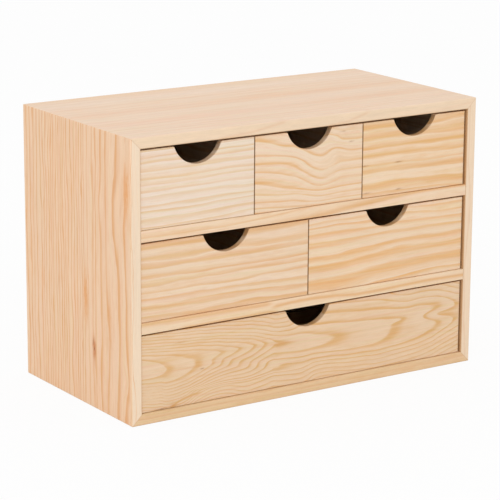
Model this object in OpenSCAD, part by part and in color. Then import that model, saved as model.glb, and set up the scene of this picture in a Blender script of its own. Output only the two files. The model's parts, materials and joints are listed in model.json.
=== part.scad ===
// Table-top chest of six small drawers: a mitred pine case with two shelves and a plywood back,
// holding three drawers above two drawers above one wide drawer.
// X runs along the width, Y from the front (-) to the back (+), Z up. Z = 0 is the underside.

/* [Case] */
// Width of the case, side to side
case_w = 370; // [300:1:440]
// Depth of the case, front to back
case_d = 190; // [150:1:240]
// Height of the case
case_h = 253; // [210:1:310]
// Thickness of the top, bottom, sides and shelves
board_t = 10; // [8:0.5:12]
// Radius of the sanded outer edges
case_arris = 1.2; // [0.4:0.1:2]
// Radius of the sanded edges round the drawer openings
inner_arris = 0.5; // [0.2:0.1:1.5]

/* [Case joints] */
// Thickness of the loose tongue hidden in each mitre
tongue_t = 2.5; // [1.5:0.5:3]
// Width of the tongue, half of it on each side of the mitre
tongue_w = 7; // [5:0.5:8]
// Distance of the tongue from the inside corner, along the mitre
tongue_in = 4.5; // [3.5:0.5:5]
// Distance that the tongue stops short of the front and back edges
tongue_stop = 14; // [12:1:40]
// Clearance round the tongue
tongue_clear = 0.1; // [0.05:0.05:0.3]
// Diameter of the dowels between shelves and sides
dowel_d = 6; // [4:0.5:7]
// Depth of a dowel's hole in the side
dowel_in_side = 6; // [4:0.5:7]
// Depth of a dowel's hole in the shelf
dowel_in_shelf = 14; // [10:1:20]
// Distance of the dowels from the front and back edges
dowel_inset = 32; // [20:1:60]
// Clearance round a dowel and at each of its ends
dowel_clear = 0.1; // [0.05:0.05:0.3]

/* [Back panel] */
// Thickness of the plywood back
back_t = 3; // [2:0.5:5]
// Width of the step that the back lies in, cut into each board
rebate_w = 5; // [4:0.5:6]
// Clearance round the edge of the back
back_clear = 0.3; // [0.1:0.1:1]
// Nails along the top edge and along the bottom edge
top_nails = 5; // [2:1:8]
// Nails along each side edge
side_nails = 3; // [2:1:5]
// Nails into the back edge of each shelf
shelf_nails = 3; // [2:1:6]
// Distance of the outermost nails from the corners
nail_corner = 36; // [24:1:60]
// Length of a back nail
nail_l = 13; // [10:1:15]
// Diameter of a back nail
nail_d = 1.4; // [1:0.1:2]
// Diameter of its head
nail_head_d = 3.2; // [2.4:0.1:3.6]
// Thickness of its head, set flush
nail_head_t = 0.8; // [0.4:0.1:1.2]

/* [Drawers] */
// Distance that the drawer fronts lie behind the front edge of the case
front_recess = 2; // [0:0.5:8]
// Gap between the left-hand drawers and the left side of the case
left_gap = 0.7; // [0.4:0.1:3]
// Gap between the right-hand drawers and the right side of the case
right_gap = 1.7; // [0.4:0.1:3]
// Gap between neighbouring drawers
between_gap = 1; // [0.5:0.1:3]
// Gap above each drawer
top_gap = 1.8; // [0.5:0.1:3]
// Running clearance under each drawer
lift = 0.2; // [0.1:0.1:1]
// Gap between a drawer and the back panel
rear_gap = 3; // [1:0.5:20]
// Thickness of the drawer fronts
front_t = 6; // [5:0.5:9]
// Thickness of the lip of the front that covers the ends of the drawer's sides
front_lip = 3; // [2:0.5:4]
// Thickness of the drawer's sides
side_t = 5; // [4:0.5:8]
// Thickness of the drawer's back
rear_t = 5; // [4:0.5:8]
// Thickness of the plywood drawer bottom
bottom_t = 3; // [2:0.5:4]
// Height of the bottom's groove above the drawer's lower edge
groove_up = 4; // [3:0.5:8]
// Depth of the groove
groove_deep = 2.5; // [1.5:0.5:3]
// Clearance above the bottom in its groove
groove_slack = 0.2; // [0.1:0.1:0.4]
// Clearance at each edge of the bottom in its groove
bottom_clear = 0.3; // [0.1:0.1:0.8]
// Radius of the sanded edges of the drawer fronts
front_arris = 0.6; // [0.2:0.1:1.5]
// Radius of the sanded top edges of the drawer's sides and back
side_arris = 0.8; // [0.2:0.1:1.5]

/* [Finger notch] */
// Radius of the notch
notch_r = 25; // [18:0.5:30]
// Depth of the notch below the top edge of the front
notch_deep = 17.2; // [12:0.1:20]
// Radius of the rounded corners where the notch meets the top edge
notch_corner_r = 1.8; // [0.5:0.1:4]
// Width of the eased front edge of the notch
notch_ease = 0.4; // [0.2:0.1:1]

/* [Drawer brads] */
// Length of a brad
brad_l = 14; // [10:1:20]
// Diameter of a brad
brad_d = 1.2; // [0.8:0.1:1.5]
// Diameter of its head
brad_head_d = 2.2; // [1.6:0.1:2.6]
// Thickness of its head, set flush
brad_head_t = 0.6; // [0.3:0.1:1]
// Distance of the brads from the lower and upper edges of the drawer's sides
brad_inset = 18; // [14:1:22]
// Radial clearance of nails and brads in their holes
nail_clear = 0.02; // [0.01:0.01:0.05]

/* [Hidden] */
$fn = 64;
past = 1; // how far a cut runs past the face that it opens
cross = 0.02; // how far the notch's rounded corners run past tangent, so that their arcs cross cleanly

ROWS = 3;
// Each drawer: its name, its row from the top, its place from the left, the drawers in its row
DRAWERS = [
    ["top_left_drawer", 0, 0, 3],
    ["top_middle_drawer", 0, 1, 3],
    ["top_right_drawer", 0, 2, 3],
    ["middle_left_drawer", 1, 0, 2],
    ["middle_right_drawer", 1, 1, 2],
    ["bottom_drawer", 2, 0, 1]
];
DRAWER_PIECES = ["front", "left_side", "right_side", "back", "bottom", "brads"];
CASE_PIECES = [
    "top_panel", "bottom_panel", "left_side_panel", "right_side_panel", "upper_shelf",
    "lower_shelf", "back_panel", "mitre_tongues", "shelf_dowels", "back_panel_nails"
];

pine = "#ecd2aa";
pine_side = "#e8c79c";
plywood = "#d9b988";
beech = "#d8b48a";
steel = "#b9babd";

// Case
inner_w = case_w - 2 * board_t;
opening_h = (case_h - (ROWS + 1) * board_t) / ROWS;
shelf_d = case_d - back_t; // the shelves end at the back panel
back_w = inner_w + 2 * rebate_w; // width and height of the step that the back panel lies in
back_h = case_h - 2 * board_t + 2 * rebate_w;
nail_line = board_t - rebate_w / 2; // distance of the edge nails from the outer faces
// Height of the floor that a row's drawers run on, rows counted from the top
function floor_z(row) = board_t + (ROWS - 1 - row) * (opening_h + board_t);
// Places of n nails spread along a length, the outermost nail_corner from its ends
function spread(length, n) = [for (i = [0 : n - 1]) (length / 2 - nail_corner) * (2 * i / (n - 1) - 1)];
// Height of the middle of the shelf under a row
function shelf_mid(row) = floor_z(row) - board_t / 2;

// Drawers
front_h = opening_h - lift - top_gap;
drawer_l = shelf_d - front_recess - rear_gap;
front_y = -case_d / 2 + front_recess;
notch_z = front_h - notch_deep + notch_r; // centre of the notch's circle above the drawer's lower edge
function drawer_w(d) = (inner_w - left_gap - right_gap - (d[3] - 1) * between_gap) / d[3];
function drawer_x(d) = -inner_w / 2 + left_gap + d[2] * (drawer_w(d) + between_gap);

// ---- Shapes that repeat ----

// A rectangle with rounded corners: radii at bottom left, bottom right, top right, top left
module eased(w, h, radii) {
    corners = [[0, 0, 1, 1], [w, 0, -1, 1], [w, h, -1, -1], [0, h, 1, -1]];
    difference() {
        square([w, h]);
        for (i = [0 : 3]) {
            r = radii[i];
            if (r > 0)
                translate([corners[i][0], corners[i][1]])
                    scale([corners[i][2], corners[i][3]])
                        difference() {
                            translate([-past, -past]) square(r + past);
                            translate([r, r]) circle(r);
                        }
        }
    }
}

// Carries a shape drawn in Y and Z along X
module along_x(length) {
    rotate([90, 0, 90]) linear_extrude(length) children();
}

// Carries a shape drawn in X and Z along Y, towards the back
module along_y(length) {
    translate([0, length, 0]) rotate([90, 0, 0]) linear_extrude(length) children();
}

// A nail along +X with its head's outer face at the origin; clear widens it into its hole
module nail(length, d, head_d, head_t, clear = 0) {
    rotate([0, 90, 0]) cylinder(h = length + clear, d = d + 2 * clear);
    translate([-clear, 0, 0]) rotate([0, 90, 0]) cylinder(h = head_t + clear, d = head_d + 2 * clear);
}

// ---- Case ----

// A board as long as the case is on that side, lying flat with its outer face up, mitred at both ends
module mitred_board(length) {
    intersection() {
        translate([-length / 2, -case_d / 2, 0])
            along_x(length)
                eased(case_d, board_t, [inner_arris, 0, case_arris, case_arris]);
        translate([0, -case_d / 2, 0])
            along_y(case_d)
                polygon([
                    [-length / 2, board_t], [length / 2, board_t],
                    [length / 2 - board_t, 0], [board_t - length / 2, 0]
                ]);
    }
}

// The whole case as one solid block with its four long corners sanded
module case_block() {
    translate([-case_w / 2, -case_d / 2, 0])
        along_y(case_d)
            eased(case_w, case_h, [case_arris, case_arris, case_arris, case_arris]);
}

// The space that the back panel lies in, less a clearance at its edges; behind opens it to the rear
module back_block(clear, behind = 0) {
    translate([clear - back_w / 2, case_d / 2 - back_t, (case_h - back_h) / 2 + clear])
        cube([back_w - 2 * clear, back_t + behind, back_h - 2 * clear]);
}

// The four tongues across the mitres; clear widens them into their grooves
module tongues(clear = 0) {
    length = case_d - 2 * tongue_stop + 2 * clear;
    for (side = [-1, 1], level = [0, 1])
        translate([side * inner_w / 2, 0, level ? case_h - board_t : board_t])
            rotate([0, (level ? -side : side) * 45, 0])
                translate([side * tongue_in, 0, 0])
                    cube([tongue_t + 2 * clear, length, tongue_w + 2 * clear], center = true);
}

// The dowels in the shelf ends; clear widens them into their holes
module dowels(clear = 0) {
    length = dowel_in_side + dowel_in_shelf - 2 * dowel_clear + 2 * clear;
    for (row = [0 : ROWS - 2], side = [-1, 1], y = [-1, 1])
        translate([
            side * (inner_w / 2 + (dowel_in_side - dowel_in_shelf) / 2),
            y * (case_d / 2 - dowel_inset),
            shelf_mid(row)
        ])
            rotate([0, 90, 0])
                cylinder(h = length, d = dowel_d + 2 * clear, center = true);
}

// The nails that hold the back panel
module back_nails(clear = 0) {
    edge_nails = [for (x = spread(case_w, top_nails), z = [nail_line, case_h - nail_line]) [x, z]];
    upright_nails = [
        for (z = spread(case_h, side_nails), side = [-1, 1])
            [side * (case_w / 2 - nail_line), case_h / 2 + z]
    ];
    middle_nails = [for (x = spread(case_w, shelf_nails), row = [0 : ROWS - 2]) [x, shelf_mid(row)]];
    for (p = concat(edge_nails, upright_nails, middle_nails))
        translate([p[0], case_d / 2, p[1]])
            rotate([0, 0, -90])
                nail(nail_l, nail_d, nail_head_d, nail_head_t, clear);
}

// Everything that is cut out of the case's boards
module case_cuts() {
    back_block(0, past);
    tongues(tongue_clear);
    dowels(dowel_clear);
    back_nails(nail_clear);
}

module top_panel() {
    color(pine)
        difference() {
            intersection() {
                translate([0, 0, case_h - board_t]) mitred_board(case_w);
                case_block();
            }
            case_cuts();
        }
}

module bottom_panel() {
    color(pine)
        difference() {
            intersection() {
                translate([0, 0, board_t]) mirror([0, 0, 1]) mitred_board(case_w);
                case_block();
            }
            case_cuts();
        }
}

// side is -1 for the left and 1 for the right
module side_panel(side) {
    color(pine_side)
        difference() {
            intersection() {
                translate([side * inner_w / 2, 0, case_h / 2])
                    rotate([0, side * 90, 0])
                        mitred_board(case_h);
                case_block();
            }
            case_cuts();
        }
}

module shelf(row) {
    color(pine)
        difference() {
            translate([-inner_w / 2, -case_d / 2, floor_z(row) - board_t])
                along_x(inner_w)
                    eased(shelf_d, board_t, [inner_arris, 0, 0, inner_arris]);
            dowels(dowel_clear);
            back_nails(nail_clear);
        }
}

module back_panel() {
    color(plywood)
        difference() {
            back_block(back_clear);
            back_nails(nail_clear);
        }
}

module mitre_tongues() {
    color(plywood) tongues();
}

module shelf_dowels() {
    color(beech) dowels();
}

module back_panel_nails() {
    color(steel) back_nails();
}

// ---- Drawers: each is drawn from the lower left corner of its front face ----

module in_place(d) {
    translate([drawer_x(d), front_y, floor_z(d[1]) + lift]) children();
}

// The finger notch, seen from the front, with its centre line at x = 0
module notch_outline() {
    reach = notch_r + notch_corner_r - cross;
    round_z = front_h - notch_corner_r + cross;
    corner_x = sqrt(reach * reach - (notch_z - round_z) * (notch_z - round_z));
    touch_z = notch_z - (notch_z - round_z) * notch_r / reach;
    translate([0, notch_z]) circle(notch_r);
    difference() {
        translate([-corner_x, touch_z]) square([2 * corner_x, front_h + past - touch_z]);
        for (side = [-1, 1])
            translate([side * corner_x, round_z]) circle(notch_corner_r);
    }
}

// The cone that eases the front edge of the notch
module notch_easing() {
    translate([0, -past, notch_z])
        rotate([-90, 0, 0])
            cylinder(h = past + 2 * notch_ease, r1 = notch_r + notch_ease + past, r2 = notch_r - notch_ease);
}

// The space that the drawer's bottom fills in its grooves
module bottom_seat(d, clear, slack) {
    inset = groove_deep - clear;
    translate([side_t - inset, front_t - inset, groove_up])
        cube([
            drawer_w(d) - 2 * side_t + 2 * inset,
            drawer_l - front_t - rear_t + 2 * inset,
            bottom_t + slack
        ]);
}

// The brads through both sides, into the front and into the back
module brads(d, clear = 0) {
    for (y = [(front_lip + front_t) / 2, drawer_l - rear_t / 2], z = [brad_inset, front_h - brad_inset]) {
        translate([0, y, z])
            nail(brad_l, brad_d, brad_head_d, brad_head_t, clear);
        translate([drawer_w(d), y, z])
            mirror([1, 0, 0]) nail(brad_l, brad_d, brad_head_d, brad_head_t, clear);
    }
}

// What is cut out of the front, sides and back of a drawer alike
module drawer_cuts(d) {
    bottom_seat(d, 0, groove_slack);
    brads(d, nail_clear);
}

module drawer_front(d) {
    w = drawer_w(d);
    color(pine)
        in_place(d)
            difference() {
                intersection() {
                    linear_extrude(front_h) eased(w, front_t, [front_arris, front_arris, 0, 0]);
                    along_x(w) eased(front_t, front_h, [front_arris, 0, 0, front_arris]);
                }
                translate([w / 2, -past, 0]) along_y(front_t + 2 * past) notch_outline();
                translate([w / 2, 0, 0]) notch_easing();
                translate([-past, front_lip, -past])
                    cube([side_t + past, front_t, front_h + 2 * past]);
                translate([w - side_t, front_lip, -past])
                    cube([side_t + past, front_t, front_h + 2 * past]);
                drawer_cuts(d);
            }
}

// One side board before its cuts, with its outer face at x = 0
module side_board() {
    translate([0, front_lip, 0])
        along_y(drawer_l - front_lip)
            eased(side_t, front_h, [0, 0, side_arris, side_arris]);
}

module drawer_left_side(d) {
    color(pine_side)
        in_place(d)
            difference() {
                side_board();
                drawer_cuts(d);
            }
}

module drawer_right_side(d) {
    color(pine_side)
        in_place(d)
            difference() {
                translate([drawer_w(d) - side_t, 0, 0]) side_board();
                drawer_cuts(d);
            }
}

module drawer_back(d) {
    color(pine_side)
        in_place(d)
            difference() {
                translate([side_t, drawer_l - rear_t, 0])
                    along_x(drawer_w(d) - 2 * side_t)
                        eased(rear_t, front_h, [0, 0, side_arris, side_arris]);
                drawer_cuts(d);
            }
}

module drawer_bottom(d) {
    color(plywood) in_place(d) bottom_seat(d, bottom_clear, 0);
}

module drawer_brads(d) {
    color(steel) in_place(d) brads(d);
}

top_panel();
bottom_panel();
side_panel(-1);  // left_side_panel
side_panel(1);  // right_side_panel
shelf(0);  // upper_shelf
shelf(1);  // lower_shelf
back_panel();
mitre_tongues();
shelf_dowels();
back_panel_nails();
for (d = DRAWERS) {
    drawer_front(d);
    drawer_left_side(d);
    drawer_right_side(d);
    drawer_back(d);
    drawer_bottom(d);
    drawer_brads(d);
}
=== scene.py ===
import json
import math
import random
from collections import namedtuple

import bpy
from mathutils import Matrix, Vector

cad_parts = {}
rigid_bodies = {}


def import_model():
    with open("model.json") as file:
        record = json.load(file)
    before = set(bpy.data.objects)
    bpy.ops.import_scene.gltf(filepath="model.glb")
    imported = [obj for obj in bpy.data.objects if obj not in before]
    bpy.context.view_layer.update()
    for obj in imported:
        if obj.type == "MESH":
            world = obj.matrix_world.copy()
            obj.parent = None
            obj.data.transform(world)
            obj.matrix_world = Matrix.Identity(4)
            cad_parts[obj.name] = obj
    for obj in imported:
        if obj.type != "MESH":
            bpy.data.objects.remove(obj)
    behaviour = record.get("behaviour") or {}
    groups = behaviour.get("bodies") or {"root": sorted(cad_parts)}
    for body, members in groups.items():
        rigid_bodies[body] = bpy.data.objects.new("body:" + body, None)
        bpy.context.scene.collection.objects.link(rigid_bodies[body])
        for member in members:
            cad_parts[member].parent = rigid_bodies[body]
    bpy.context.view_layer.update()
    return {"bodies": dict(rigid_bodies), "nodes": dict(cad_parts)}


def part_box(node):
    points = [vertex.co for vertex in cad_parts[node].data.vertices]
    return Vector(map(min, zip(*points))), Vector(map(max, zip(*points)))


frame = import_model()
DRAWERS = [body for body in frame["bodies"] if body != "case"]

# Unfinished pine, seen in soft studio light. Grain is worked out in millimetres, the rest in metres.
MM = 1000.0


# ---------------------------------------------------------------- colours

def colour(red, green, blue):
    """A colour written as it looks on a screen, 0 to 255, as the light that it reflects: the sRGB curve."""
    def light(level):
        share = level / 255.0
        return share / 12.92 if share <= 0.04045 else ((share + 0.055) / 1.055) ** 2.4
    return (light(red), light(green), light(blue), 1.0)


WHITE = (1.0, 1.0, 1.0, 1.0)
PALE_WOOD = colour(239, 216, 191)
PALE_RING = colour(226, 188, 146)
# Tinges that the wood's colour is multiplied by.
ROSE = (1.0, 0.96, 0.97, 1.0)
STRAW = (0.98, 1.0, 0.94, 1.0)
RESIN = colour(172, 122, 82)
AMBER = colour(232, 169, 113)
HONEY = colour(212, 158, 96)
# Painted shade: the warm dark brown that faces seen in the gaps and recesses round the drawers are coloured
# towards.
PAINTED_GAP_SHADE = colour(190, 142, 86)
KNOT_HALO = colour(208, 138, 86)
KNOT_CORE = colour(138, 68, 28)
VENEER_PALE = colour(239, 211, 181)
VENEER_RING = colour(226, 189, 152)
CORE_PLY = colour(184, 142, 100)
BEECH_BODY = colour(214, 171, 130)
BEECH_FLECK = colour(172, 120, 82)
STEEL_BRIGHT = colour(196, 197, 200)
STEEL_DULL = colour(158, 158, 160)


# ---------------------------------------------------------------- numbers that vary over a surface

# The rise that stands in for none, because a curve's heights are divided by it.
LEAST_RISE = 1e-6

# Soft noise: how big its lumps are, in mm along, across and into the wood, where in the noise they are
# taken from, and how many finer layers lie in it.
Lumps = namedtuple("Lumps", "along across into seed detail", defaults=(1.0,))


class Field:
    """A number that varies over a surface: one output of a shader node, with Python's own arithmetic."""

    def __init__(self, tree, socket):
        self.tree = tree
        self.socket = socket

    def __add__(self, other):
        return calculate("ADD", self, other)

    def __sub__(self, other):
        return calculate("SUBTRACT", self, other)

    def __mul__(self, other):
        return calculate("MULTIPLY", self, other)

    def __truediv__(self, other):
        return calculate("DIVIDE", self, other)

    def __rsub__(self, other):
        return calculate("SUBTRACT", other, self)

    def __neg__(self):
        return calculate("MULTIPLY", self, -1.0)

    __radd__ = __add__
    __rmul__ = __mul__


def feed(tree, socket, value):
    """Links a field to an input, or sets the input to a plain number or colour."""
    if isinstance(value, Field):
        tree.links.new(value.socket, socket)
    else:
        socket.default_value = value


def calculate(operation, *values):
    """One step of arithmetic between fields and plain numbers."""
    tree = next(value.tree for value in values if isinstance(value, Field))
    node = tree.nodes.new("ShaderNodeMath")
    node.operation = operation
    for socket, value in zip(node.inputs, values):
        feed(tree, socket, value)
    return Field(tree, node.outputs[0])


def ease(low, high, value):
    """0 below low, 1 above high, and a smooth S between them. It falls instead if low is the greater."""
    node = value.tree.nodes.new("ShaderNodeMapRange")
    node.interpolation_type = "SMOOTHSTEP"
    feed(value.tree, node.inputs["Value"], value)
    feed(value.tree, node.inputs["From Min"], low)
    feed(value.tree, node.inputs["From Max"], high)
    return Field(value.tree, node.outputs["Result"])


def bell(distance, reach):
    """1 in the middle, falling smoothly to nothing at about twice the reach."""
    scaled = distance / reach
    return calculate("EXPONENT", -(scaled * scaled))


def follow(knots, value, smooth=False):
    """The height of a line through knots of (place, height), in straight stretches or one smooth curve."""
    places = [place for place, height in knots]
    heights = [height for place, height in knots]
    low, span = places[0], places[-1] - places[0]
    base, rise = min(heights), max(max(heights) - min(heights), LEAST_RISE)
    node = value.tree.nodes.new("ShaderNodeFloatCurve")
    node.mapping.use_clip = False
    node.mapping.extend = "EXTRAPOLATED"
    curve = node.mapping.curves[0]
    while len(curve.points) < len(knots):
        curve.points.new(0.5, 0.5)
    for point, (place, height) in zip(curve.points, knots):
        point.location = ((place - low) / span, (height - base) / rise)
        point.handle_type = "AUTO_CLAMPED" if smooth else "VECTOR"
    node.mapping.update()
    feed(value.tree, node.inputs["Value"], (value - low) / span)
    return Field(value.tree, node.outputs[0]) * rise + base


def noise(where, lumps, seed):
    """Soft noise from 0 to 1, about 0.5 on average."""
    tree = where.along.tree
    place = tree.nodes.new("ShaderNodeCombineXYZ")
    for socket, part, size in zip(place.inputs, where, lumps):
        feed(tree, socket, part / size + (seed + lumps.seed))
    node = tree.nodes.new("ShaderNodeTexNoise")
    node.inputs["Scale"].default_value = 1.0
    node.inputs["Detail"].default_value = lumps.detail
    tree.links.new(place.outputs[0], node.inputs["Vector"])
    return Field(tree, node.outputs["Fac"])


def swing(where, lumps, seed):
    """Soft noise from -0.5 to 0.5, about 0 on average."""
    return noise(where, lumps, seed) - 0.5


def blend(factor, first, second, mode="MIX"):
    """A colour between two colours, or the first tinged by the second where the mode is MULTIPLY."""
    tree = next(value.tree for value in (factor, first, second) if isinstance(value, Field))
    node = tree.nodes.new("ShaderNodeMix")
    node.data_type = "RGBA"
    node.blend_type = mode
    inputs = {socket.identifier: socket for socket in node.inputs}
    outputs = {socket.identifier: socket for socket in node.outputs}
    feed(tree, inputs["Factor_Float"], factor)
    feed(tree, inputs["A_Color"], first)
    feed(tree, inputs["B_Color"], second)
    return Field(tree, outputs["Result_Color"])


def brighten(tint, amount):
    """A colour times a number that varies."""
    node = tint.tree.nodes.new("ShaderNodeVectorMath")
    node.operation = "SCALE"
    feed(tint.tree, node.inputs[0], tint)
    feed(tint.tree, node.inputs["Scale"], amount)
    return Field(tint.tree, node.outputs[0])


def total(weights, parts):
    """The parts of a surface's grain, each times its weight, added up on a base."""
    result = weights.get("base", 0.0)
    for name, part in parts.items():
        if name in weights:
            result = part * weights[name] + result
    return result


# ---------------------------------------------------------------- places in a board

# A place in a board, in mm: along the grain, across the face, and into the wood behind the face.
Place = namedtuple("Place", "along across into")
# A board's three directions. A sign says which way each is measured, so "-z" into the wood is down from
# the top.
FRONT_FACE = ("+x", "+z", "+y")
TOP_FACE = ("+x", "+y", "-z")
UNDER_FACE = ("+x", "+y", "+z")
LEFT_FACE = ("+z", "-y", "+x")
RIGHT_FACE = ("+z", "+y", "-x")
BACK_FACE = ("+x", "+z", "-y")
LEFT_SIDE = ("+y", "+z", "+x")
RIGHT_SIDE = ("+y", "+z", "-x")
DOWELS = ("+x", "+y", "+z")
TONGUES = ("+y", "+x", "+z")
NAILS = ("+x", "+y", "+z")


def extent(node, axis):
    """A node's lowest and highest place along an axis, in mm."""
    low, high = (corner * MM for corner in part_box(node))
    index = "xyz".index(axis[1])
    return low[index], high[index]


def components(tree, output):
    """The x, y and z of a point's place on the object ("Object"), or of the way it faces ("Normal")."""
    coordinates = tree.nodes.new("ShaderNodeTexCoord")
    split = tree.nodes.new("ShaderNodeSeparateXYZ")
    tree.links.new(coordinates.outputs[output], split.inputs[0])
    return {axis: Field(tree, socket) for axis, socket in zip("xyz", split.outputs)}


def board_place(tree, node, axes):
    """The place in a board. Along and across are from the middle of its box, into is from the face."""
    place = components(tree, "Object")
    parts = []
    for axis, measure in zip(axes, Place._fields):
        sign = -1.0 if axis[0] == "-" else 1.0
        low, high = extent(node, axis)
        if measure == "into":
            start = low if sign > 0 else high
        else:
            start = (low + high) / 2
        parts.append(place[axis[1]] * (MM * sign) + (-sign * start))
    return Place(*parts)


# From where a surface begins to count as facing along an axis, to where it does so fully: 1 is squarely.
SQUARELY = (0.6, 0.9)


def facing(tree, axis, levels=SQUARELY):
    """1 where a surface faces squarely along an axis, either way, and 0 where it faces elsewhere."""
    return ease(*levels, calculate("ABSOLUTE", components(tree, "Normal")[axis[1]]))


# ---------------------------------------------------------------- what a pine board shows

# Ways in which the growth rings leave straight lines. Each adds to the ring's place, in mm. A swell is a
# hump about one place. A fold is a step, from start to end along the face, and it may be kept to a part of
# the face, growing from nothing at low to its full size at high.
Swell = namedtuple("Swell", "by along across long wide")
Fold = namedtuple("Fold", "by start end low high", defaults=(None, None))
# A fold whose line slants across the face: it starts right of the line, and dies out above top, below
# bottom and past end.
Crease = namedtuple("Crease", "by along slope reach top bottom end")
# A line of latewood: where its sharp side is, how wide it is as it fades away from there, and how strong.
Line = namedtuple("Line", "at wide strong")
# A stain, pitch pocket or knot in a colour of its own.
Mark = namedtuple("Mark", "along across long wide strong tint")
# A single band of latewood along a path of (along, across) knots. On a panel's front edge the path is
# (along, into), and edge says where the edge lies across the panel.
Band = namedtuple("Band", "path wide strong edge", defaults=(None,))
# The arches of a flat-sawn face. All but the creases are (along, mm) knots: where the arches' axis lies
# across the face, how far their tips reach above and below it before they turn into limbs, and how far
# apart the upper and lower limbs are.
Arches = namedtuple("Arches", "axis upper_tip lower_tip upper_gap lower_gap creases")
# A whole board: its directions; its earlywood and latewood colours; its lines of latewood, of which those
# below fade downwards and those above fade upwards; how far its rings lean, in mm across for each mm into
# the wood, and how much they wander; how strongly the latewood shows; the colour of its edges, if that
# differs; and how blotchy it is.
Board = namedtuple(
    "Board",
    "axes early late below above bends marks bands tilt wander seed arches contrast edge blotchy",
    defaults=((), (), (), (), (), 0.4, 1.0, 0.0, None, 1.0, None, 0.0),
)


def bent(place, where, bends):
    """Adds the swells and folds of a board to a ring's place."""
    for bend in bends:
        if isinstance(bend, Swell):
            shape = bell(where.along - bend.along, bend.long)
            shape = shape * bell(where.across - bend.across, bend.wide)
        else:
            shape = ease(bend.start, bend.end, where.along)
            if bend.low is not None:
                shape = shape * ease(bend.low, bend.high, where.across)
        place = place + shape * bend.by
    return place


# How a line of latewood rises and fades, in shares of its width, as its dense and its soft part. A fade is
# from where the part is at its full strength to where it is gone.
LINE_RISE = 0.35
DENSE_FADE = (0.45, 1.25)
SOFT_FADE = (0.6, 2.4)
DENSE_PART = 0.7
SOFT_PART = 0.3
# Bare rings beyond the outermost lines, and the width that they are looked up with.
BARE_RINGS = 3
BARE_WIDTH = 0.5
# The outermost line has no next one to say how wide its ring is, so its ring is so many times its width.
OUTERMOST_RING = 3
WIDEST_SHARE = 0.9


def latewood(place, below, above, limb):
    """How much latewood there is, 0 to 1. The limb is how many rings a place lies beyond its arch's tip."""
    knots = [(line.at, -len(below) + k) for k, line in enumerate(reversed(below))]
    knots += [(line.at, k + 1) for k, line in enumerate(above)]
    (first, lowest), (last, highest) = knots[0], knots[-1]
    margin = BARE_RINGS * (last - first) / (len(knots) - 1)
    lowest -= BARE_RINGS
    highest += BARE_RINGS
    number = follow([(first - margin, lowest), *knots, (last + margin, highest)], place) + limb
    share, strength = line_settings(number, lowest, highest, below, above)
    within = calculate("FRACT", calculate("ABSOLUTE", number))
    rise = ease(0.0, share * LINE_RISE, within)
    dense = ease(share * DENSE_FADE[1], share * DENSE_FADE[0], within)
    soft = ease(share * SOFT_FADE[1], share * SOFT_FADE[0], within)
    return rise * (dense * DENSE_PART + soft * SOFT_PART) * strength


def line_settings(number, lowest, highest, below, above):
    """Each line's own width, as a share of its ring, and strength, looked up by ring number."""
    tree = number.tree
    settings = [(lowest, BARE_WIDTH, 0.0), (-1, BARE_WIDTH, 0.0)]
    for side, direction in ((below, -1), (above, 1)):
        for k, line in enumerate(side):
            ring = abs(side[k + 1].at - line.at) if k + 1 < len(side) else OUTERMOST_RING * line.wide
            start = k + 1 if direction > 0 else -(k + 2)
            settings.append((start, min(line.wide / ring, WIDEST_SHARE), line.strong))
    settings.sort()
    ramp = tree.nodes.new("ShaderNodeValToRGB")
    ramp.color_ramp.interpolation = "CONSTANT"
    stops = ramp.color_ramp.elements
    while len(stops) < len(settings):
        stops.new(1.0)
    for stop, (start, share, strength) in zip(stops, settings):
        stop.position = (start - lowest) / (highest - lowest)
        stop.color = (share, strength, 0.0, 1.0)
    feed(tree, ramp.inputs[0], (number - lowest) / (highest - lowest))
    split = tree.nodes.new("ShaderNodeSeparateColor")
    tree.links.new(ramp.outputs["Color"], split.inputs[0])
    return Field(tree, split.outputs[0]), Field(tree, split.outputs[1])


# How sharply the arches turn into their limbs, and the upper arches into the lower ones, in mm.
ARCH_ROUNDING = 5.0
AXIS_WIDTH = 1.5
# How much of the rings' own waves shows in the arches' limbs and in their tips.
LIMB_WAVES = 0.5
TIP_WAVES = 1.5
# How gradually a crease dies out at its top, bottom and end, in mm.
CREASE_TOP = 7.0
CREASE_BOTTOM = 6.0
CREASE_END = 23.0


def rounded(distance):
    """A distance without its sign, whose turn at nought is rounded off."""
    return calculate("SQRT", distance * distance + ARCH_ROUNDING * ARCH_ROUNDING)


def creased(across, along, crease):
    """The place across the face, moved by a crease."""
    beside = along - across * crease.slope - crease.along
    shape = ease(crease.reach, -crease.reach, beside) * ease(crease.top, crease.top - CREASE_TOP, across)
    shape = shape * ease(crease.bottom, crease.bottom + CREASE_BOTTOM, across)
    return across + shape * ease(crease.end, crease.end + CREASE_END, along) * crease.by


def arched_grain(where, arches, waves):
    """Rings that close in arches: the place of the arch's tip, and how many rings out the limb is."""
    across = where.across + waves * LIMB_WAVES
    for crease in arches.creases:
        across = creased(across, where.along, crease)
    off = across - follow(arches.axis, where.along, smooth=True)
    upper = ease(-AXIS_WIDTH, AXIS_WIDTH, off)
    lower = 1.0 - upper

    def both(above, below):
        above, below = (follow(knots, where.along, smooth=True) for knots in (above, below))
        return above * upper + below * lower

    tip = both(arches.upper_tip, arches.lower_tip)
    gap = both(arches.upper_gap, arches.lower_gap)
    past = calculate("ABSOLUTE", off) - tip
    limb = (past + tip + rounded(past) - rounded(tip)) * 0.5 / gap
    return where.along + waves * TIP_WAVES, limb


# In mm: how far inside and outside its outermost knots a band fades out, and how far from its edge.
BAND_INSIDE = 8.0
BAND_OUTSIDE = 4.0
BAND_DEPTH = 9.0


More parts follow.
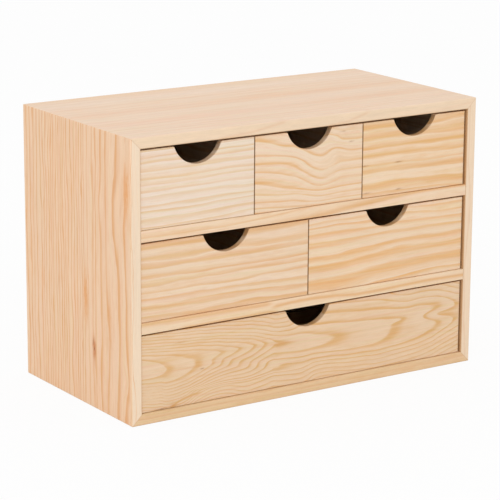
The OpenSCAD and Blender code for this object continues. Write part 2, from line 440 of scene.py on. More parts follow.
def band(where, spec):
    """How strongly one band of latewood shows, 0 to 1."""
    side = where.across if spec.edge is None else where.into
    shape = bell(side - follow(spec.path, where.along), spec.wide)
    first, last = spec.path[0][0], spec.path[-1][0]
    shape = shape * ease(first - BAND_OUTSIDE, first + BAND_INSIDE, where.along)
    shape = shape * ease(last + BAND_OUTSIDE, last - BAND_INSIDE, where.along)
    if spec.edge is not None:
        shape = shape * bell(where.across - spec.edge, BAND_DEPTH)
    return shape * spec.strong


# Soft noises of a pine board. The waves move the rings, the patches weaken them, and the others are seen.
LONG_WAVES = Lumps(75.0, 14.0, 14.0, seed=0.0)
SHORT_WAVES = Lumps(26.0, 4.5, 4.5, seed=7.0)
PATCHES = Lumps(90.0, 3.0, 3.0, seed=13.0)
BROAD_FIBRES = Lumps(90.0, 3.2, 3.2, seed=17.0)
WIDE_FIBRES = Lumps(50.0, 1.1, 1.1, seed=21.0, detail=2.0)
FINE_FIBRES = Lumps(16.0, 0.3, 0.3, seed=31.0, detail=2.0)
CLOUDS = Lumps(110.0, 26.0, 26.0, seed=41.0)
PORES = Lumps(5.0, 0.3, 0.3, seed=51.0)
MOTTLING = Lumps(14.0, 3.0, 3.0, seed=61.0, detail=2.0)
TINGE = Lumps(130.0, 2.4, 2.4, seed=71.0)
SPECKLES = Lumps(5.0, 1.1, 1.1, seed=81.0, detail=2.0)

# How far the waves move the rings, in mm.
LONG_WAVES_BY = 6.0
SHORT_WAVES_BY = 2.4
# Levels of noise between which a patch, a pore or a tinge comes up from nothing to its full strength.
PATCH_LEVELS = (0.3, 0.7)
PORE_LEVELS = (0.68, 0.80)
ROSE_LEVELS = (0.50, 0.72)
STRAW_LEVELS = (0.50, 0.28)
# The strength of the latewood outside a patch, and what a patch adds.
PATCH_LEAST = 0.65
PATCH_GAIN = 0.4

# How stains and knots fray sideways, in shares of their width, how speckled they are, and how deep, in mm.
MARK_FRAY = 1.6
MARK_SPECKLES = 2.4
MARK_MOTTLING = 1.6
MARK_DEPTH = 8.0

# What each part of the grain adds to a wood's colour on the way from earlywood to latewood.
PINE_WARMTH = {"base": 0.06, "broad_fibres": 0.9, "clouds": 0.5, "mottling": 0.7}
# What each part of a surface adds to its roughness, relief and brightness. The depth of the relief is in
# metres.
Finish = namedtuple("Finish", "roughness relief depth brightness", defaults=(None,))
PINE = Finish(
    roughness={"base": 0.62, "late": -0.10, "fine_fibres": 0.15},
    relief={"fine_fibres": 1.0, "wide_fibres": 0.6, "late": 0.4, "pores": -0.5},
    depth=0.00012,
    brightness={"base": 1.0, "wide_fibres": 0.13, "fine_fibres": 0.14, "clouds": 0.07, "pores": -0.12},
)
RELIEF_STRENGTH = 0.35
SHEEN_OF_WOOD = 0.35

# End grain is darker.
END_GRAIN = 0.2
# The edges of a board that has an edge colour: how much that colour covers, and how much of it the latewood
# takes away.
EDGE_COVER = 0.86
EDGE_LATE = 0.7
# The mitred boards of the case, how much painted shade their inner faces get, standing for the shade in the
# recesses and gaps round the drawers, and how far into the boards those faces begin, in mm.
INNER_FACE_SHADE = {"top_panel": 0.5, "bottom_panel": 0.1, "left_side_panel": 0.5, "right_side_panel": 0.68}
INNER_FACE = (8.8, 9.8)
# The line of a mitre joint on the boards' edges.
MITRE_WIDTH = 0.3
MITRE_SHADE = 0.22
# A drawer front's edges, other than the lower one, get painted shade, since they are seen deep in the gaps
# between the drawers. In mm into the front, and across it.
FRONT_EDGE_SHADE = 0.5
FRONT_EDGE = (0.2, 0.9)
FRONT_LOWER_EDGE = (-34.4, -33.4)


def growth_rings(where, board):
    """Where a point lies among the growth rings, in mm, and how much latewood there is, 0 to 1."""
    waves = swing(where, LONG_WAVES, board.seed) * LONG_WAVES_BY
    waves = (waves + swing(where, SHORT_WAVES, board.seed) * SHORT_WAVES_BY) * board.wander
    place, limb = where.across + where.into * board.tilt + waves, 0.0
    if board.arches:
        place, limb = arched_grain(where, board.arches, waves)
    place = bent(place, where, board.bends)
    late = latewood(place, board.below, board.above, limb)
    late = late * (ease(*PATCH_LEVELS, noise(where, PATCHES, board.seed)) * PATCH_GAIN + PATCH_LEAST)
    for spec in board.bands:
        late = calculate("MAXIMUM", late, band(where, spec))
    return place, calculate("MINIMUM", late * board.contrast, 1.0)


def pine_parts(where, place, late, board):
    """The parts of a board's grain. Its fibres and pores follow the rings, unless those are arched."""
    flow = where if board.arches else Place(where.along, place, where.into)
    return {
        "late": late,
        "broad_fibres": swing(flow, BROAD_FIBRES, board.seed),
        "wide_fibres": swing(flow, WIDE_FIBRES, board.seed),
        "fine_fibres": swing(flow, FINE_FIBRES, board.seed),
        "clouds": swing(where, CLOUDS, board.seed),
        "mottling": swing(where, MOTTLING, board.seed),
        "pores": ease(*PORE_LEVELS, noise(flow, PORES, board.seed)),
        "tinge": noise(flow, TINGE, board.seed),
    }


def pine_tint(parts, board):
    """The colour of the wood itself: earlywood and latewood, with pinkish and yellowish streaks."""
    warmth = calculate("MAXIMUM", total(PINE_WARMTH, parts), 0.0)
    late = parts["late"]
    tint = blend(calculate("MINIMUM", late + warmth * (1.0 - late), 1.0), board.early, board.late)
    tint = blend(ease(*ROSE_LEVELS, parts["tinge"]), tint, ROSE, "MULTIPLY")
    return blend(ease(*STRAW_LEVELS, parts["tinge"]), tint, STRAW, "MULTIPLY")


def marked(tint, where, parts, board):
    """The wood's colour with its stains and knots, whose sides fray along the fibres."""
    speckles = swing(where, SPECKLES, board.seed) * MARK_SPECKLES + parts["mottling"] * MARK_MOTTLING
    for mark in board.marks:
        shape = bell(where.along - mark.along, mark.long)
        fray = parts["wide_fibres"] * mark.wide * MARK_FRAY
        shape = shape * bell(where.across - mark.across + fray, mark.wide)
        shape = shape * bell(where.into, MARK_DEPTH) * (speckles + 1.0)
        tint = blend(shape * mark.strong, tint, mark.tint)
    return tint


def mitred(tint, node, where, sideways, axes):
    """The colour of a mitred board of the case: painted shade on its inner face, with a line at each joint.
    """
    # Painted shade on the inner face, where it is seen in the recesses round the drawers.
    tint = blend(ease(*INNER_FACE, where.into) * INNER_FACE_SHADE[node], tint, PAINTED_GAP_SHADE)
    low, high = extent(node, axes[0])
    past_mitre = (high - low) / 2 - calculate("ABSOLUTE", where.along) - where.into
    return blend(bell(past_mitre, MITRE_WIDTH) * sideways * MITRE_SHADE, tint, RESIN)


def pine(node, board):
    """A planed pine board: growth rings, fibres, resin pores, stains and darker end grain, with painted
    shade on the faces seen in the gaps round the drawers.
    """
    material, tree, shader = plain("pine_" + node)
    where = board_place(tree, node, board.axes)
    place, late = growth_rings(where, board)
    parts = pine_parts(where, place, late, board)
    tint = pine_tint(parts, board)
    if board.marks:
        tint = marked(tint, where, parts, board)
    sideways = facing(tree, board.axes[1])
    endways = facing(tree, board.axes[0])
    if board.edge:
        tint = blend(sideways * (EDGE_COVER - late * EDGE_LATE), tint, board.edge)
    if node in INNER_FACE_SHADE:
        tint = mitred(tint, node, where, sideways, board.axes)
    elif node.endswith("_front"):
        # Painted shade on the front's narrow edges, which face into the gaps between the drawers.
        edges = calculate("MAXIMUM", sideways, endways) * ease(*FRONT_EDGE, where.into)
        tint = blend(edges * ease(*FRONT_LOWER_EDGE, where.across) * FRONT_EDGE_SHADE, tint, PAINTED_GAP_SHADE)
    level = total(PINE.brightness, parts) + parts["mottling"] * board.blotchy
    finished(shader, brighten(tint, level * (1.0 - endways * END_GRAIN)), parts, PINE)
    shader.inputs["Specular IOR Level"].default_value = SHEEN_OF_WOOD
    return material


# The ranges that unremarkable growth rings vary in: how far apart they are, in shares of their spacing, how
# wide their lines are, in shares of the gap, and how strong.
RING_GAPS = (0.5, 1.5)
LINE_WIDTHS = (0.25, 0.5)
LINE_STRENGTHS = (0.4, 0.9)


def ring_lines(seed, low, high, spacing):
    """Unremarkable growth rings between two places."""
    rng = random.Random(seed)
    lines = []
    at = low
    while at < high:
        gap = spacing * rng.uniform(*RING_GAPS)
        lines.append(Line(at, gap * rng.uniform(*LINE_WIDTHS), rng.uniform(*LINE_STRENGTHS)))
        at += gap
    return tuple(lines)


# ---------------------------------------------------------------- materials

def plain(name):
    """A new material with its tree and shader."""
    material = bpy.data.materials.new(name)
    material.use_nodes = True
    return material, material.node_tree, material.node_tree.nodes["Principled BSDF"]


def finished(shader, tint, parts, finish):
    """Gives a shader its colour, and its roughness and fine relief from the parts of its surface."""
    tree = tint.tree
    feed(tree, shader.inputs["Base Color"], tint)
    feed(tree, shader.inputs["Roughness"], total(finish.roughness, parts))
    bump = tree.nodes.new("ShaderNodeBump")
    bump.inputs["Strength"].default_value = RELIEF_STRENGTH
    bump.inputs["Distance"].default_value = finish.depth
    feed(tree, bump.inputs["Height"], total(finish.relief, parts))
    tree.links.new(bump.outputs[0], shader.inputs["Normal"])


VENEER_FIGURE = Lumps(190.0, 30.0, 400.0, seed=0.0, detail=1.2)
VENEER_FIBRES = Lumps(22.0, 0.45, 0.45, seed=5.0, detail=2.0)
VENEER_FLECKS = Lumps(4.0, 0.35, 0.35, seed=9.0)
VENEER_CLOUDS = Lumps(90.0, 40.0, 40.0, seed=13.0)
VENEER_FLECK_LEVELS = (0.66, 0.78)
# The veneer's rings: how many there are from the least to the most of the figure, over which shares of a
# ring its latewood rises and fades, and how strongly it is coloured.
VENEER_RINGS = 12.0
VENEER_RISE = (0.0, 0.15)
VENEER_FADE = (0.65, 0.15)
VENEER_CONTRAST = 0.6
# How strongly the core ply is coloured, and how sharply it begins and ends, in shares of a ply.
PLIES = 3
CORE_COVER = 0.8
CORE_SHARPNESS = 0.04
VENEER = Finish(
    roughness={"base": 0.66, "late": -0.06, "fibres": 0.12},
    relief={"fibres": 1.0, "late": 0.3, "flecks": -0.5},
    depth=0.0001,
    brightness={"base": 1.0, "fibres": 0.14, "clouds": 0.10, "flecks": -0.10},
)


def plywood(node, axes, seed):
    """Thin three-ply: rotary-cut veneers with broad, wandering figure, and a darker core at the edges."""
    material, tree, shader = plain("plywood_" + node)
    where = board_place(tree, node, axes)
    within = calculate("FRACT", noise(where, VENEER_FIGURE, seed) * VENEER_RINGS)
    parts = {
        "late": ease(*VENEER_RISE, within) * ease(*VENEER_FADE, within),
        "fibres": swing(where, VENEER_FIBRES, seed),
        "flecks": ease(*VENEER_FLECK_LEVELS, noise(where, VENEER_FLECKS, seed)),
        "clouds": swing(where, VENEER_CLOUDS, seed),
    }
    tint = blend(parts["late"] * VENEER_CONTRAST, VENEER_PALE, VENEER_RING)
    low, high = extent(node, axes[2])
    ply = (high - low) / PLIES
    slack = ply * CORE_SHARPNESS
    core = ease(ply - slack, ply + slack, where.into) * ease(2 * ply + slack, 2 * ply - slack, where.into)
    tint = blend(core * CORE_COVER, tint, CORE_PLY)
    finished(shader, brighten(tint, total(VENEER.brightness, parts)), parts, VENEER)
    return material


BEECH_BANDS = Lumps(60.0, 1.6, 1.6, seed=0.0)
BEECH_FIBRES = Lumps(12.0, 0.25, 0.25, seed=5.0, detail=2.0)
BEECH_FLECKS = Lumps(2.2, 0.35, 0.35, seed=9.0)
BEECH_FLECK_LEVELS = (0.64, 0.72)
BEECH_FLECK_COVER = 0.6
BEECH_ENDS = (0.55, 0.95)
BEECH = Finish(
    roughness={"base": 0.55, "fibres": 0.15},
    relief={"fibres": 1.0, "flecks": -0.4},
    depth=0.00008,
    brightness={"base": 1.0, "bands": 0.22, "fibres": 0.12},
)


def beech(node, axes, seed):
    """Beech: even, pinkish and close-grained, with short dark flecks along the grain."""
    material, tree, shader = plain("beech_" + node)
    where = board_place(tree, node, axes)
    parts = {
        "bands": swing(where, BEECH_BANDS, seed),
        "fibres": swing(where, BEECH_FIBRES, seed),
        "flecks": ease(*BEECH_FLECK_LEVELS, noise(where, BEECH_FLECKS, seed)),
    }
    tint = blend(parts["flecks"] * BEECH_FLECK_COVER, BEECH_BODY, BEECH_FLECK)
    level = total(BEECH.brightness, parts) * (1.0 - facing(tree, axes[0], BEECH_ENDS) * END_GRAIN)
    finished(shader, brighten(tint, level), parts, BEECH)
    return material


STEEL_PATCHES = Lumps(1.6, 1.6, 1.6, seed=0.0, detail=2.0)
STEEL_SCRATCHES = Lumps(0.12, 1.4, 0.12, seed=4.0, detail=2.0)
STEEL_DULL_LEVELS = (0.35, 0.7)
STEEL = Finish(
    roughness={"base": 0.30, "dull": 0.22, "scratches": 0.12},
    relief={"scratches": 1.0, "dull": 0.5},
    depth=0.00003,
)


def steel(node, seed):
    """Bright wire nails: drawn and slightly scratched steel, a little dull in patches."""
    material, tree, shader = plain("steel_" + node)
    where = board_place(tree, node, NAILS)
    parts = {
        "dull": noise(where, STEEL_PATCHES, seed),
        "scratches": swing(where, STEEL_SCRATCHES, seed),
    }
    tint = blend(ease(*STEEL_DULL_LEVELS, parts["dull"]), STEEL_BRIGHT, STEEL_DULL)
    finished(shader, tint, parts, STEEL)
    shader.inputs["Metallic"].default_value = 1.0
    return material


# ---------------------------------------------------------------- the boards

VISIBLE_BOARDS = {
    "top_left_drawer_front": Board(
        FRONT_FACE, colour(239, 221, 203), colour(230, 195, 153), seed=1.0, wander=0.7, contrast=1.1,
        below=(Line(-5.2, 3.8, 0.6), Line(-12.6, 2.8, 0.8), Line(-17.6, 2.6, 0.85),
               Line(-24.0, 4.2, 0.85), Line(-31.0, 3.4, 0.8)),
        above=(Line(-2.8, 3.4, 0.6), Line(3.8, 2.8, 0.75), Line(8.4, 3.0, 0.8), Line(14.8, 4.0, 0.8),
               Line(22.2, 3.0, 0.8), Line(27.0, 2.6, 0.8)),
        bends=(Fold(-3.2, 0.0, 60.0, -8.0, -28.0),),
    ),
    "top_middle_drawer_front": Board(
        FRONT_FACE, colour(239, 214, 187), colour(228, 179, 123), seed=2.0, wander=0.35,
        above=(Line(-33.6, 1.8, 0.8), Line(-29.6, 1.8, 0.85), Line(-24.6, 2.3, 0.7),
               Line(-17.4, 2.8, 0.75), Line(-8.2, 4.6, 0.95), Line(2.2, 2.4, 0.7), Line(8.6, 3.0, 0.85),
               Line(16.2, 2.8, 0.8), Line(29.6, 4.6, 0.9), Line(46.4, 1.5, 0.85), Line(52.0, 2.0, 0.3)),
        bends=(Fold(4.0, -84.0, -4.0), Fold(10.0, -18.0, 14.5, -38.0, -18.0),
               Fold(6.5, -64.0, -5.0, -24.0, -15.0), Fold(-20.0, -32.5, 16.5, 9.5, 27.0),
               Fold(19.0, -58.0, 13.0, 5.5, 25.0), Fold(-5.5, 13.5, 36.5, -36.0, -5.5),
               Fold(8.5, 17.0, 37.0, 8.0, 22.5), Swell(-8.0, 28.5, 13.0, 10.0, 6.5),
               Swell(-8.0, -22.0, 16.5, 26.0, 15.5)),
        marks=(Mark(22.5, -2.0, 6.5, 11.0, 0.8, colour(237, 209, 178)),
               Mark(47.0, -9.0, 18.0, 12.0, 0.4, colour(237, 209, 178)),
               Mark(46.0, 27.6, 12.0, 1.6, 0.3, AMBER), Mark(45.5, 19.6, 2.6, 0.7, 0.6, RESIN),
               Mark(36.0, 29.6, 3.5, 0.6, 0.4, RESIN)),
    ),
    "top_right_drawer_front": Board(
        FRONT_FACE, colour(240, 213, 182), colour(229, 180, 122), seed=3.0, wander=0.9,
        below=(Line(-20.6, 7.6, 0.95), Line(-29.6, 2.6, 0.85), Line(-33.0, 3.0, 0.75)),
        above=(Line(-14.2, 6.8, 0.95), Line(-6.2, 3.2, 0.7), Line(0.0, 5.2, 0.85), Line(7.7, 6.8, 1.0),
               Line(16.6, 8.0, 0.85), Line(25.4, 8.5, 0.9), Line(38.0, 4.0, 0.7)),
        bends=(Fold(2.5, 25.0, 60.0, -18.0, -26.0), Fold(-3.5, 15.0, 60.0, 19.0, 28.0)),
        marks=(Mark(-55.0, -4.8, 3.5, 0.6, 0.7, RESIN), Mark(-18.0, -5.0, 4.0, 0.6, 0.6, RESIN),
               Mark(-53.0, -30.2, 4.0, 0.6, 0.7, RESIN), Mark(-17.0, -30.3, 4.0, 0.6, 0.6, RESIN)),
    ),
    "middle_left_drawer_front": Board(
        FRONT_FACE, colour(238, 213, 186), colour(227, 180, 128), seed=4.0, wander=1.0,
        below=(Line(-13.4, 3.8, 0.8), Line(-19.6, 5.2, 0.9), Line(-28.6, 5.2, 0.9),
               Line(-34.0, 3.0, 0.7)),
        above=(Line(-10.2, 3.2, 0.75), Line(-3.6, 4.2, 0.85), Line(2.4, 4.4, 0.85), Line(11.2, 5.4, 0.85),
               Line(17.0, 6.5, 0.8), Line(27.6, 8.5, 0.95), Line(40.0, 4.0, 0.8)),
        bends=(Fold(-2.0, 45.0, 86.0, 20.0, 30.0), Swell(1.3, 0.0, -9.0, 25.0, 4.0),
               Fold(1.8, 15.0, 80.0, -12.0, -14.0)),
    ),
    "middle_right_drawer_front": Board(
        FRONT_FACE, colour(239, 213, 184), colour(231, 181, 124), seed=5.0, wander=1.0,
        below=(Line(31.2, 2.6, 0.65), Line(26.4, 2.6, 0.8), Line(20.4, 4.2, 0.85), Line(12.6, 5.6, 0.85),
               Line(0.2, 6.0, 0.95), Line(-7.4, 8.6, 1.0), Line(-20.4, 11.0, 1.0),
               Line(-36.5, 10.0, 0.95)),
        bends=(Fold(-2.5, -86.0, 60.0), Fold(-4.5, -60.0, 30.0, 14.0, 0.0),
               Fold(2.0, 0.0, 60.0, -16.0, -8.0), Fold(-1.5, 0.0, 60.0, -24.0, -30.0)),
    ),
    "bottom_drawer_front": Board(
        FRONT_FACE, colour(234, 205, 173), colour(222, 176, 119), seed=6.0, wander=0.7, contrast=1.1,
        above=(Line(-150.0, 11.0, 0.85), Line(-121.0, 12.0, 0.9), Line(-95.0, 8.0, 0.75),
               Line(-76.0, 6.5, 0.85), Line(-60.0, 5.0, 0.85), Line(-49.0, 5.6, 0.85),
               Line(-37.0, 22.0, 0.9), Line(25.0, 24.0, 0.85), Line(92.0, 18.0, 1.0),
               Line(149.0, 8.5, 1.0), Line(169.5, 8.5, 0.9), Line(200.0, 9.0, 0.8), Line(230.0, 9.0, 0.7),
               Line(255.0, 9.0, 0.8), Line(280.0, 8.0, 0.7), Line(305.0, 9.0, 0.8), Line(330.0, 8.0, 0.8),
               Line(355.0, 8.0, 0.8)),
        bends=(Swell(24.0, 143.0, 6.5, 26.0, 5.0), Swell(-16.0, 103.0, 8.0, 14.0, 2.4)),
        bands=(Band(((-146.0, -36.0), (-140.0, -31.5), (-132.0, -28.5), (-122.0, -26.3),
                     (-112.0, -25.4)), 1.1, 1.0),),
        marks=(Mark(-166.0, -19.0, 24.0, 7.5, 0.8, colour(233, 202, 167)),
               Mark(-29.0, 5.0, 8.0, 2.4, 0.5, HONEY), Mark(-134.0, 23.2, 6.0, 0.7, 0.7, HONEY),
               Mark(-112.0, -4.0, 2.0, 0.6, 0.6, RESIN), Mark(-142.0, -33.0, 4.0, 2.4, 0.7, HONEY),
               Mark(-153.0, -34.0, 7.0, 0.8, 0.7, RESIN)),
        arches=Arches(
            axis=((-173, 3.0), (-145, 1.5), (-121, 4.0), (-89, 7.5), (-57, 8.0), (-30, 6.0), (0, 3.5),
                  (30, 2.5), (60, 3.0), (100, 5.0), (173, 6.5)),
            upper_tip=((-173, 9.5), (-150, 10.5), (-120, 8.0), (-100, 4.5), (-60, 2.5), (0, 2.5),
                       (30, 4.5), (60, 5.5), (110, 8.5), (150, 13.0), (173, 12.0)),
            lower_tip=((-173, 6.0), (-155, 8.0), (-140, 11.0), (-115, 6.5), (-60, 3.0), (0, 6.5),
                       (60, 14.0), (110, 18.5), (140, 16.5), (150, 14.0), (173, 11.5)),
            upper_gap=((-173, 2.5), (-100, 2.7), (-60, 3.1), (-25, 4.0), (0, 7.8), (30, 8.6), (60, 8.7),
                       (110, 5.8), (173, 4.5)),
            lower_gap=((-173, 2.6), (-110, 2.7), (-60, 4.4), (-20, 5.0), (0, 4.5), (20, 3.6), (60, 3.8),
                       (110, 3.9), (173, 4.3)),
            creases=(Crease(4.5, -96.0, -4.2, 18.0, 6.0, -24.0, -135.0),),
        ),
    ),
    "top_panel": Board(
        TOP_FACE, colour(241, 214, 189), colour(225, 178, 136), seed=7.0, wander=1.0, contrast=0.32,
        tilt=0.8, blotchy=0.16, above=ring_lines(7, -110.0, 110.0, 9.0), edge=colour(239, 213, 182),
        marks=(Mark(70.0, 11.0, 140.0, 9.5, 0.7, colour(236, 195, 160)),
               Mark(-140.0, 12.0, 70.0, 9.0, 0.5, colour(238, 199, 168)),
               Mark(110.0, -38.0, 100.0, 8.5, 0.65, colour(234, 194, 160)),
               Mark(-100.0, -38.0, 110.0, 9.0, 0.55, colour(238, 199, 172)),
               Mark(0.0, 62.0, 260.0, 11.0, 0.5, colour(242, 219, 199)),
               Mark(20.0, -10.0, 260.0, 7.0, 0.35, colour(240, 216, 194)),
               Mark(-40.0, 88.0, 240.0, 3.5, 0.35, colour(236, 203, 160))),
        bands=(Band(((-100, 9.8), (-60, 6.6), (-25, 1.0)), 1.7, 1.9, -95.0),
               Band(((15, 10.0), (40, 7.6), (65, 1.0)), 1.7, 1.9, -95.0),
               Band(((115, 10.0), (150, 7.0), (185, 3.5)), 1.6, 1.3, -95.0)),
    ),
    "upper_shelf": Board(
        FRONT_FACE, colour(241, 214, 184), colour(227, 177, 124), seed=8.0, wander=0.15, tilt=0.5,
        above=(Line(-34.0, 3.0, 0.5), Line(-22.0, 2.4, 0.4), Line(-14.0, 6.4, 0.9), Line(-2.0, 2.2, 0.7),
               Line(6.0, 2.5, 0.5), Line(14.0, 3.0, 0.6), Line(24.0, 3.5, 0.6), Line(36.0, 3.0, 0.6),
               Line(48.0, 4.0, 0.6), Line(62.0, 3.0, 0.6), Line(78.0, 5.0, 0.6), Line(96.0, 4.0, 0.6)),
        bends=(Fold(-16.5, -110.0, 150.0),),
    ),
    "lower_shelf": Board(
        FRONT_FACE, colour(240, 213, 181), colour(227, 177, 123), seed=9.0, wander=0.3, tilt=0.5,
        above=(Line(9.0, 2.4, 0.4), Line(16.0, 3.0, 0.6), Line(24.0, 3.5, 0.6), Line(36.0, 3.0, 0.6),
               Line(48.0, 4.0, 0.6), Line(62.0, 3.0, 0.6), Line(78.0, 5.0, 0.6), Line(96.0, 4.0, 0.6)),
        bands=(Band(((-185, 4.0), (-110, 3.6), (-40, 3.4)), 2.3, 0.75),
               Band(((-135, -4.8), (-60, -4.0), (-45, -3.8), (-33, -5.0)), 1.3, 0.75),
               Band(((-42, -0.2), (-20, 1.4), (0, 1.8), (30, 0.5), (50, -1.5), (80, -1.2), (130, 0.3),
                     (190, -0.6)), 1.7, 0.85)),
    ),
    "bottom_panel": Board(
        UNDER_FACE, colour(232, 200, 160), colour(216, 166, 110), seed=10.0, wander=1.2, contrast=0.45,
        tilt=1.5, above=ring_lines(10, -120.0, 115.0, 8.5),
    ),
    "left_side_panel": Board(
        LEFT_FACE, colour(243, 208, 175), colour(230, 175, 124), seed=11.0, wander=1.3, tilt=0.6,
        contrast=1.45, edge=colour(241, 220, 194),
        above=(Line(-91.0, 2.0, 0.85), Line(-84.0, 1.8, 0.8), Line(-78.0, 1.5, 0.8),
               Line(-72.0, 1.8, 0.85), Line(-64.5, 1.5, 0.8), Line(-59.5, 1.4, 0.8),
               Line(-55.0, 1.5, 0.8), Line(-49.5, 1.5, 0.8), Line(-46.0, 1.4, 0.8), Line(-42.0, 1.9, 0.8),
               Line(-36.0, 1.4, 0.8), Line(-31.5, 1.4, 0.8), Line(-27.5, 1.4, 0.8), Line(-23.5, 1.5, 0.8),
               Line(-19.5, 1.4, 0.8), Line(-15.5, 1.5, 0.8), Line(-9.3, 2.0, 0.8), Line(-3.5, 1.5, 0.8),
               Line(1.0, 1.5, 0.8), Line(5.0, 1.4, 0.8), Line(9.5, 1.4, 0.8), Line(13.5, 1.4, 0.8),
               Line(20.5, 1.3, 0.6), Line(28.6, 2.0, 0.65), Line(33.0, 2.4, 0.65), Line(42.0, 3.6, 0.8),
               Line(50.5, 4.0, 0.85), Line(70.0, 4.4, 0.85), Line(84.0, 4.2, 0.9), Line(95.5, 2.0, 0.0)),
        bends=(Swell(9.0, 50.0, 66.0, 38.0, 10.0), Swell(3.0, 62.0, 41.0, 14.0, 7.0),
               Swell(-3.5, -35.0, 73.0, 60.0, 9.0), Swell(-5.0, -75.0, 57.0, 45.0, 5.0),
               Swell(-4.5, -88.0, 87.0, 14.0, 6.0), Swell(3.0, 48.0, 85.0, 16.0, 6.0)),
        marks=(Mark(114.0, 86.0, 18.0, 6.0, 0.9, colour(242, 207, 174)),
               Mark(77.0, 88.0, 22.0, 4.6, 0.95, AMBER), Mark(42.0, 83.5, 14.0, 2.4, 0.6, AMBER),
               Mark(-27.0, 16.8, 20.0, 4.0, 1.0, AMBER), Mark(-27.0, -62.0, 12.0, 2.6, 0.4, AMBER),
               Mark(-48.0, 58.0, 26.0, 4.0, 0.5, AMBER), Mark(-73.0, 30.4, 9.5, 2.7, 1.2, KNOT_HALO),
               Mark(-72.0, 30.4, 1.4, 1.0, 0.8, KNOT_CORE), Mark(-66.0, 29.0, 2.6, 0.9, 0.4, KNOT_CORE)),
        bands=(Band(((-60, 4.0), (0, 4.5), (70, 3.2), (105, 1.8)), 0.7, 0.12, 95.0),
               Band(((45, 8.4), (100, 5.0), (124, 3.6)), 0.7, 0.12, 95.0)),
    ),
    "right_side_panel": Board(
        RIGHT_FACE, colour(236, 206, 175), colour(217, 160, 110), seed=12.0, wander=1.4, tilt=0.7,
        edge=colour(240, 216, 188), above=ring_lines(12, -100.0, 110.0, 8.0),
        bends=(Swell(7.0, -40.0, 30.0, 60.0, 30.0),),
    ),
}


# Each unseen board takes the next seed, so that its grain is its own.
FIRST_SEED = 20.0
SEED_STEP = 3.0
# The ranges that unseen boards vary in: how far their rings wander and lean, and their spacing, in mm.
WANDERS = (0.6, 1.6)
TILTS = (-0.8, 0.8)
SPACINGS = (4.0, 9.0)
# Their rings lie within so many mm of the middle.
RING_REACH = 50.0


def drawer_boards():
    """The sides and back of each drawer: plain boards, each with grain of its own."""
    boards = {}
    for body in DRAWERS:
        for part, axes in (("left_side", LEFT_SIDE), ("right_side", RIGHT_SIDE), ("back", BACK_FACE)):
            seed = FIRST_SEED + SEED_STEP * len(boards)
            rng = random.Random(seed)
            boards[body + "_" + part] = Board(
                axes, PALE_WOOD, PALE_RING, seed=seed,
                wander=rng.uniform(*WANDERS), tilt=rng.uniform(*TILTS),
                above=ring_lines(seed, -RING_REACH, RING_REACH, rng.uniform(*SPACINGS)),
            )
    return boards


def dress(node, material):
    """Gives a piece its material."""
    slots = frame["nodes"][node].data.materials
    slots.clear()
    slots.append(material)


for name, board in {**VISIBLE_BOARDS, **drawer_boards()}.items():
    dress(name, pine(name, board))
dress("back_panel", plywood("back_panel", BACK_FACE, seed=3.0))
dress("shelf_dowels", beech("shelf_dowels", DOWELS, seed=2.0))
dress("mitre_tongues", beech("mitre_tongues", TONGUES, seed=8.0))
dress("back_panel_nails", steel("back_panel_nails", seed=1.0))
for number, body in enumerate(DRAWERS):
    dress(body + "_bottom", plywood(body + "_bottom", TOP_FACE, seed=11.0 + 6.0 * number))
    dress(body + "_brads", steel(body + "_brads", seed=5.0 + 3.0 * number))


# ---------------------------------------------------------------- stage, camera and light

CAMERA_PLACE = Vector((-1.1274, -1.6945, 0.6222))
CAMERA_AZIMUTH = math.radians(-33.606)
CAMERA_ELEVATION = math.radians(14.055)
CAMERA_ROLL = math.radians(0.323)
CAMERA_LENS = 163.18
SENSOR = 36.0

FLOOR_REACH = 30.0
FLOOR_WHITE = (0.88, 0.88, 0.88, 1.0)
# How much of what the camera sees of the floor is plain white. The rest is its own light and shadow.
FLOOR_GLOW = 0.92
# The light from all round, where 1 is white.
SKY = 0.885

LAMP_PLACE = (-1.5, -2.05, 1.6)
LAMP_TARGET = (0.0, 0.0, 0.12)
LAMP_WIDTH = 1.6
LAMP_HEIGHT = 1.2
LAMP_WATTS = 14.4


def camera():
    """The camera at the photograph's place, with no shift and no depth of field."""
    data = bpy.data.cameras.new("camera")
    data.lens = CAMERA_LENS
    data.sensor_width = SENSOR
    data.sensor_height = SENSOR
    data.sensor_fit = "HORIZONTAL"
    data.clip_end = 2 * FLOOR_REACH
    made = bpy.data.objects.new("camera", data)
    bpy.context.scene.collection.objects.link(made)
    back = Vector((
        math.sin(CAMERA_AZIMUTH) * math.cos(CAMERA_ELEVATION),
        -math.cos(CAMERA_AZIMUTH) * math.cos(CAMERA_ELEVATION),
        math.sin(CAMERA_ELEVATION),
    ))
    right = Vector((0.0, 0.0, 1.0)).cross(back).normalized()
    up = back.cross(right)
    turned_right = right * math.cos(CAMERA_ROLL) + up * math.sin(CAMERA_ROLL)
    turned_up = up * math.cos(CAMERA_ROLL) - right * math.sin(CAMERA_ROLL)
    turn = Matrix((turned_right, turned_up, back)).transposed()
    made.matrix_world = Matrix.Translation(CAMERA_PLACE) @ turn.to_4x4()
    bpy.context.scene.camera = made


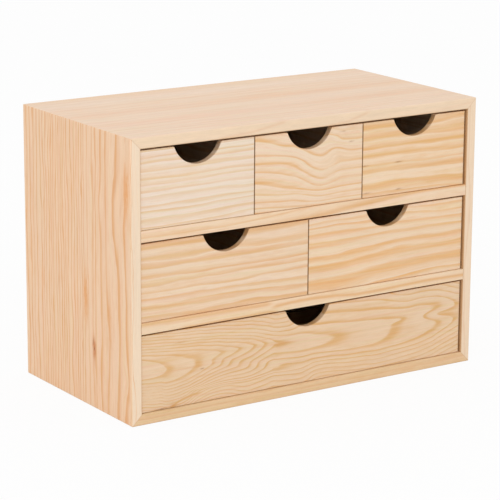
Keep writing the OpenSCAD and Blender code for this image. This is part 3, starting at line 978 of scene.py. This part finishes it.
def seen_directly(tree):
    """1 for a ray from the camera or one that it sees in gloss or through glass, 0 for other light."""
    path = tree.nodes.new("ShaderNodeLightPath")
    kinds = ("Is Camera Ray", "Is Glossy Ray", "Is Transmission Ray")
    from_camera, in_gloss, through_glass = (Field(tree, path.outputs[kind]) for kind in kinds)
    return calculate("MAXIMUM", calculate("MAXIMUM", from_camera, in_gloss), through_glass)


def floor():
    """A wide white floor, which shows white to the camera and keeps a soft shadow."""
    mesh = bpy.data.meshes.new("floor")
    r = FLOOR_REACH
    mesh.from_pydata([(-r, -r, 0), (r, -r, 0), (r, r, 0), (-r, r, 0)], [], [(0, 1, 2, 3)])
    made = bpy.data.objects.new("floor", mesh)
    bpy.context.scene.collection.objects.link(made)
    material = bpy.data.materials.new("floor")
    material.use_nodes = True
    tree = material.node_tree
    tree.nodes.clear()
    matt = tree.nodes.new("ShaderNodeBsdfDiffuse")
    matt.inputs["Color"].default_value = FLOOR_WHITE
    glow = tree.nodes.new("ShaderNodeEmission")
    mixed = tree.nodes.new("ShaderNodeMixShader")
    feed(tree, mixed.inputs[0], seen_directly(tree) * FLOOR_GLOW)
    tree.links.new(matt.outputs[0], mixed.inputs[1])
    tree.links.new(glow.outputs[0], mixed.inputs[2])
    output = tree.nodes.new("ShaderNodeOutputMaterial")
    tree.links.new(mixed.outputs[0], output.inputs["Surface"])
    made.data.materials.append(material)


def sky():
    """Even white light from all round, plain white where the camera sees it."""
    world = bpy.data.worlds.new("studio")
    world.use_nodes = True
    tree = world.node_tree
    background = tree.nodes["Background"]
    background.inputs["Color"].default_value = WHITE
    feed(tree, background.inputs["Strength"], seen_directly(tree) * (1.0 - SKY) + SKY)
    bpy.context.scene.world = world


def lamp():
    """A soft rectangular lamp that faces the chest from behind the camera and above it."""
    data = bpy.data.lights.new("key_lamp", "AREA")
    data.shape = "RECTANGLE"
    data.size, data.size_y = LAMP_WIDTH, LAMP_HEIGHT
    data.energy = LAMP_WATTS
    made = bpy.data.objects.new("key_lamp", data)
    made.location = LAMP_PLACE
    made.rotation_euler = (Vector(LAMP_TARGET) - Vector(LAMP_PLACE)).to_track_quat("-Z", "Y").to_euler()
    bpy.context.scene.collection.objects.link(made)


camera()
floor()
sky()
lamp()
bpy.context.scene.view_settings.view_transform = "Standard"
